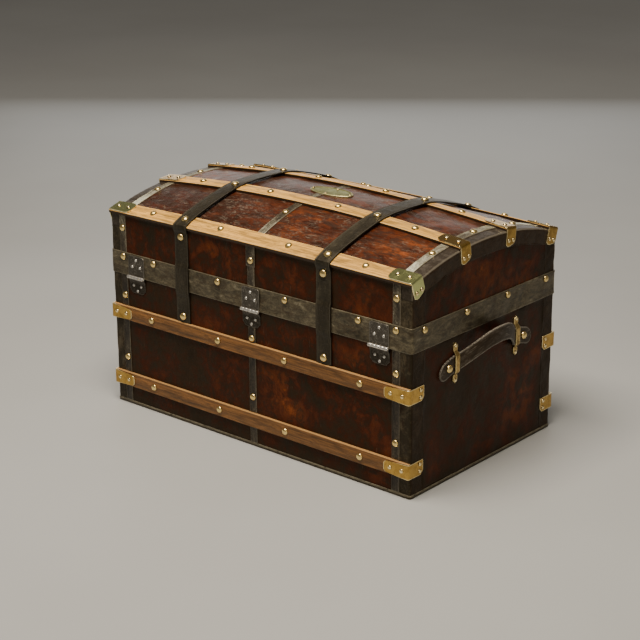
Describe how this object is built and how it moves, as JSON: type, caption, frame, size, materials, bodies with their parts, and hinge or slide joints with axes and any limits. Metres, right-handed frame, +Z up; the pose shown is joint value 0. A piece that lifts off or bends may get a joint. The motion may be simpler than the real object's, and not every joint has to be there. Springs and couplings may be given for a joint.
{
  "type": "dome top trunk",
  "caption": "Leather-clad dome top travelling trunk with wooden slats, brass clips and nails, leather straps, end handles, a lock and a hinged lid.",
  "frame": {"origin": "on the floor under the middle of the trunk", "axes": "+Z up, the front with the lock faces -Y, the hinged back faces +Y, the length runs along X"},
  "size_m": [0.941, 0.529, 0.528],
  "materials": {
    "board_wood": "plain sawn boards",
    "slat_wood": "worn, waxed hardwood",
    "lining_cloth": "plain cotton lining",
    "panel_leather": "aged, near black with rust-red wear",
    "corner_leather": "black, worn",
    "strap_leather": "black with grey-green wear",
    "handle_leather": "dark, polished by hands",
    "band_metal": "grey-green patina",
    "seam_strip": "worn grey",
    "clip_brass": "tarnished",
    "nail_brass": "polished by wear",
    "plate_brass": "pale, tarnished",
    "stay_brass": "plain",
    "hinge_steel": "dark with bright wear",
    "lock_steel": "plain"
  },
  "bodies": {
    "trunk_body": {"front_board": "board_wood", "back_board": "board_wood", "left_board": "board_wood", "right_board": "board_wood", "floor_board": "board_wood", "body_lining": "lining_cloth", "body_leather_panels": "panel_leather", "body_corner_leathers": "corner_leather", "bottom_welt": "corner_leather", "body_seam_strips": "seam_strip", "back_upper_slat": "slat_wood", "back_lower_slat": "slat_wood", "front_upper_slat": "slat_wood", "front_lower_slat": "slat_wood", "body_slat_clips": "clip_brass", "body_clip_nails": "nail_brass", "body_dome_nails": "nail_brass", "body_tacks": "nail_brass", "hinge_lower_leaves": "hinge_steel", "hinge_pins": "hinge_steel", "handle_bridges": "clip_brass", "handle_tabs": "handle_leather", "handle_studs": "nail_brass", "back_strap_ends": "strap_leather", "strap_end_nails": "nail_brass", "lock_case": "lock_steel", "keyhole_plate": "clip_brass", "stay_guides": "stay_brass"},
    "lid": {"lid_front_board": "board_wood", "lid_back_board": "board_wood", "lid_left_board": "board_wood", "lid_right_board": "board_wood", "dome_board": "board_wood", "lid_lining": "lining_cloth", "lid_wall_leathers": "panel_leather", "lid_corner_leathers": "corner_leather", "dome_leathers": "panel_leather", "dome_edge_bindings": "corner_leather", "rim_band": "band_metal", "lid_seam_strips": "seam_strip", "lid_back_edge_slat": "slat_wood", "lid_back_dome_slat": "slat_wood", "lid_front_dome_slat": "slat_wood", "lid_front_edge_slat": "slat_wood", "lid_slat_clips": "clip_brass", "lid_clip_nails": "nail_brass", "lid_dome_nails": "nail_brass", "strap_nails": "nail_brass", "lid_tacks": "nail_brass", "hinge_upper_leaves": "hinge_steel", "oval_plate": "plate_brass", "link_plate": "lock_steel", "lid_straps": "strap_leather", "quadrant_stays": "stay_brass"},
    "left_handle": {"left_handle_grip": "handle_leather"},
    "right_handle": {"right_handle_grip": "handle_leather"},
    "bolt": {"lock_bolt": "lock_steel"},
    "cover": {"keyhole_cover": "clip_brass"}
  },
  "joints": [
    {"name": "lid_hinge", "type": "hinge", "parent": "trunk_body", "child": "lid", "pos_m": [0, 0.2589, 0.3142], "axis": [-1, 0, 0], "range_deg": [0, 74.5]},
    {"name": "right_handle_swing", "type": "hinge", "parent": "trunk_body", "child": "right_handle", "pos_m": [0.4345, 0, 0.256], "axis": [0, -1, 0], "range_deg": [-24, 12]},
    {"name": "left_handle_swing", "type": "hinge", "parent": "trunk_body", "child": "left_handle", "pos_m": [-0.4345, 0, 0.256], "axis": [0, 1, 0], "range_deg": [-24, 12]},
    {"name": "lock_bolt_slide", "type": "slide", "parent": "trunk_body", "child": "bolt", "axis": [1, 0, 0], "range_m": [0, 0.009]},
    {"name": "keyhole_cover_swing", "type": "hinge", "parent": "trunk_body", "child": "cover", "pos_m": [0, -0.2545, 0.284], "axis": [0, 1, 0], "range_deg": [-55, 55]}
  ]
}
